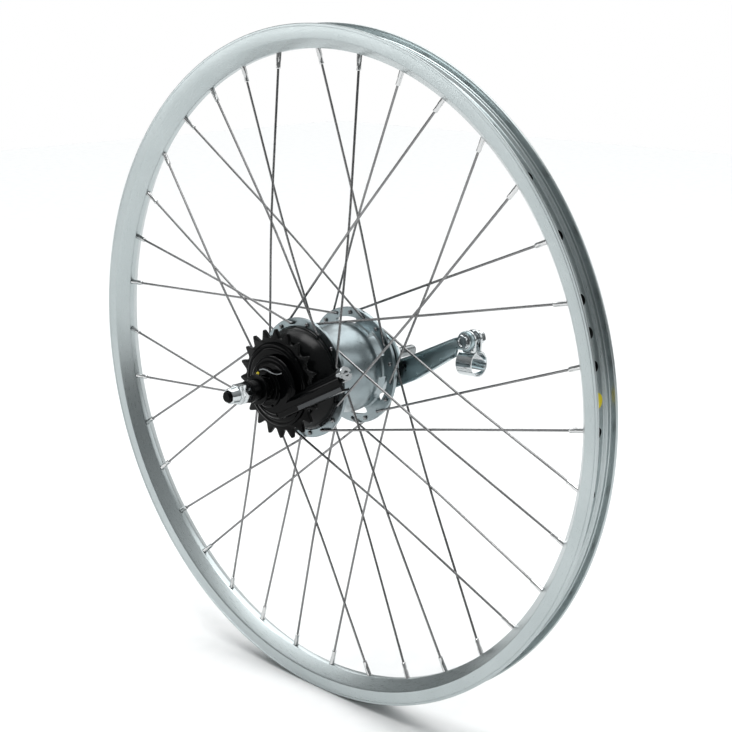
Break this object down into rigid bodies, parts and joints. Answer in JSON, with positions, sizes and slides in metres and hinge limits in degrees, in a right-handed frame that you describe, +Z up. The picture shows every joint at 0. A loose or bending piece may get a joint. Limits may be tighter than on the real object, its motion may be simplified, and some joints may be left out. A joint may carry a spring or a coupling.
{
  "type": "geared bicycle wheel",
  "caption": "Spoked bicycle rear wheel on a planetary gear hub, with sprocket, shift joint, coaster brake arm and chain-stay clip.",
  "frame": {"origin": "middle of the axle, at the centre of the rim", "axes": "+Y along the axle towards the brake side, +X forward along the brake arm, +Z up"},
  "size_m": [0.5708, 0.219, 0.5708],
  "materials": {
    "rim": "satin silver anodised",
    "spoke": "drawn stainless wire with bright nickel nipples",
    "shell": "polished",
    "chrome": "bright chrome plate",
    "steel": "machined steel",
    "black_steel": "black oxide",
    "black_plastic": "glossy black",
    "brake_steel": "dark blued steel"
  },
  "bodies": {
    "axle": {"axle": "black_steel", "sun_gear_fixed": "steel", "drive_cone": "steel", "drive_locknut": "black_steel", "shift_bracket": "black_plastic", "shift_lock_ring": "black_steel", "cable_stop": "chrome", "drive_nonturn_washer": "black_steel", "drive_cap_nut": "chrome", "brake_cone": "steel", "brake_arm": "brake_steel", "brake_arm_locknut": "steel", "brake_nonturn_washer": "black_steel", "brake_axle_nut": "chrome", "clip_bolt": "chrome", "clip_spacer": "chrome", "clip_nut": "chrome"},
    "pulley": {"shift_pulley": "black_plastic"},
    "clip": {"arm_clip": "chrome"},
    "driver": {"driver": "black_steel", "sprocket": "black_steel", "sprocket_snap_ring": "steel", "sprocket_dust_cover": "black_plastic", "driver_ball_ring": "steel", "planet_carrier": "steel"},
    "planet_1": {"planet_gear_1": "steel"},
    "planet_2": {"planet_gear_2": "steel"},
    "planet_3": {"planet_gear_3": "steel"},
    "free_sun": {"sun_gear_free": "steel"},
    "wheel": {"hub_shell": "shell", "drive_ball_cup": "black_plastic", "ring_gear": "steel", "brake_ball_ring": "steel", "brake_dust_cap": "black_steel", "rim": "rim", "spoke_pair_drive_1": "spoke", "spoke_pair_brake_1": "spoke", "spoke_pair_drive_2": "spoke", "spoke_pair_brake_2": "spoke", "spoke_pair_drive_3": "spoke", "spoke_pair_brake_3": "spoke", "spoke_pair_drive_4": "spoke", "spoke_pair_brake_4": "spoke", "spoke_pair_drive_5": "spoke", "spoke_pair_brake_5": "spoke", "spoke_pair_drive_6": "spoke", "spoke_pair_brake_6": "spoke", "spoke_pair_drive_7": "spoke", "spoke_pair_brake_7": "spoke", "spoke_pair_drive_8": "spoke", "spoke_pair_brake_8": "spoke", "spoke_pair_drive_9": "spoke", "spoke_pair_brake_9": "spoke"},
    "expander": {"brake_expander": "steel"},
    "shoe_1": {"brake_shoe_1": "steel"},
    "shoe_2": {"brake_shoe_2": "steel"},
    "shoe_3": {"brake_shoe_3": "steel"}
  },
  "joints": [
    {"name": "wheel_spin", "type": "hinge", "parent": "axle", "child": "wheel", "pos_m": [0, 0, 0], "axis": [0, 1, 0], "continuous": true},
    {"name": "driver_spin", "type": "hinge", "parent": "axle", "child": "driver", "pos_m": [0, 0, 0], "axis": [0, 1, 0], "continuous": true},
    {"name": "planet_1_spin", "type": "hinge", "parent": "driver", "child": "planet_1", "pos_m": [0.018, -0.007, 0], "axis": [0, 1, 0], "continuous": true},
    {"name": "planet_2_spin", "type": "hinge", "parent": "driver", "child": "planet_2", "pos_m": [-0.009, -0.007, 0.01559], "axis": [0, 1, 0], "continuous": true},
    {"name": "planet_3_spin", "type": "hinge", "parent": "driver", "child": "planet_3", "pos_m": [-0.009, -0.007, -0.01559], "axis": [0, 1, 0], "continuous": true},
    {"name": "free_sun_spin", "type": "hinge", "parent": "axle", "child": "free_sun", "pos_m": [0, -0.001, 0], "axis": [0, 1, 0], "continuous": true},
    {"name": "pulley_turn", "type": "hinge", "parent": "axle", "child": "pulley", "pos_m": [0, -0.0616, 0], "axis": [0, 1, 0], "range_deg": [0, 130], "stiffness_Nm_per_rad": 0.05, "springref_deg": -28.65},
    {"name": "clip_swivel", "type": "hinge", "parent": "axle", "child": "clip", "pos_m": [0.103, 0.0665, 0.0336], "axis": [0, 1, 0], "range_deg": [-60, 0]},
    {"name": "expander_slide", "type": "slide", "parent": "axle", "child": "expander", "axis": [0, -1, 0], "range_m": [0, 0.003]},
    {"name": "shoe_1_slide", "type": "slide", "parent": "axle", "child": "shoe_1", "axis": [0, 0, 1], "range_m": [0, 0.0009]},
    {"name": "shoe_2_slide", "type": "slide", "parent": "axle", "child": "shoe_2", "axis": [-0.866, 0, -0.5], "range_m": [0, 0.0009]},
    {"name": "shoe_3_slide", "type": "slide", "parent": "axle", "child": "shoe_3", "axis": [0.866, 0, -0.5], "range_m": [0, 0.0009]}
  ],
  "couplings": [
    {"joint": "driver_spin", "follows": "wheel_spin", "ratio": 0.71429},
    {"joint": "planet_1_spin", "follows": "wheel_spin", "ratio": 0.95238},
    {"joint": "planet_2_spin", "follows": "wheel_spin", "ratio": 0.95238},
    {"joint": "planet_3_spin", "follows": "wheel_spin", "ratio": 0.95238},
    {"joint": "free_sun_spin", "follows": "wheel_spin", "ratio": -0.55556},
    {"joint": "shoe_1_slide", "follows": "expander_slide", "ratio": 0.3},
    {"joint": "shoe_2_slide", "follows": "expander_slide", "ratio": 0.3},
    {"joint": "shoe_3_slide", "follows": "expander_slide", "ratio": 0.3}
  ]
}
